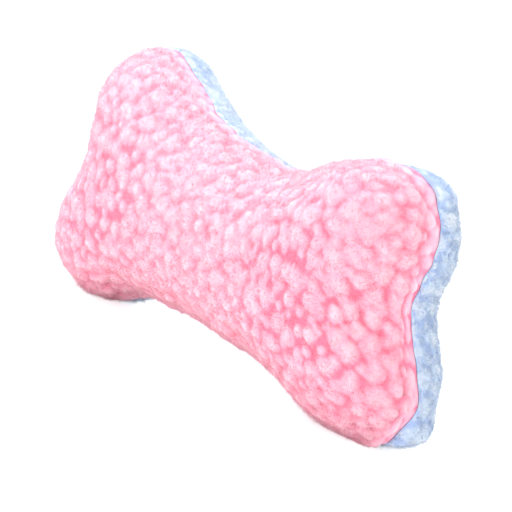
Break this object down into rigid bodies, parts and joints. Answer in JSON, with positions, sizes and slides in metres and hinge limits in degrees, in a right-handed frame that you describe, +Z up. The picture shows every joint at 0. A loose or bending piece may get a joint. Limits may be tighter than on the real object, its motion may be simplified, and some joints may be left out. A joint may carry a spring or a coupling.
{
  "type": "fleece bone dog toy",
  "caption": "Stuffed bone-shaped dog toy: a pink berber-fleece front and a pale blue fleece back sewn round fibrefill and a squeaker, standing on its long edge.",
  "frame": {"origin": "on the surface that the toy stands on, under the middle of its box", "axes": "+X along the bone towards its right end as seen from the pink front, -Y out of the pink front, +Y out of the blue back, +Z up"},
  "size_m": [0.226, 0.0756, 0.1176],
  "materials": {
    "pink_fleece": "deep curled berber pile in large nubs, matt",
    "blue_fleece": "soft, finer curled pile, matt",
    "sewing_thread": "twisted polyester, slight sheen",
    "fibrefill": "loose crimped polyester fibre, matt",
    "bulb_plastic": "blown soft plastic, satin, slightly milky",
    "whistle_plastic": "moulded hard plastic, semi-gloss"
  },
  "bodies": {
    "root": {"front_panel": "pink_fleece", "back_panel": "blue_fleece", "seam_needle_thread": "sewing_thread", "seam_bobbin_thread": "sewing_thread", "closing_thread": "sewing_thread", "fill_left_end": "fibrefill", "fill_right_end": "fibrefill", "fill_middle_front": "fibrefill", "fill_middle_back": "fibrefill", "squeaker_bulb": "bulb_plastic", "squeaker_whistle": "whistle_plastic", "squeaker_reed": "whistle_plastic"}
  },
  "joints": []
}
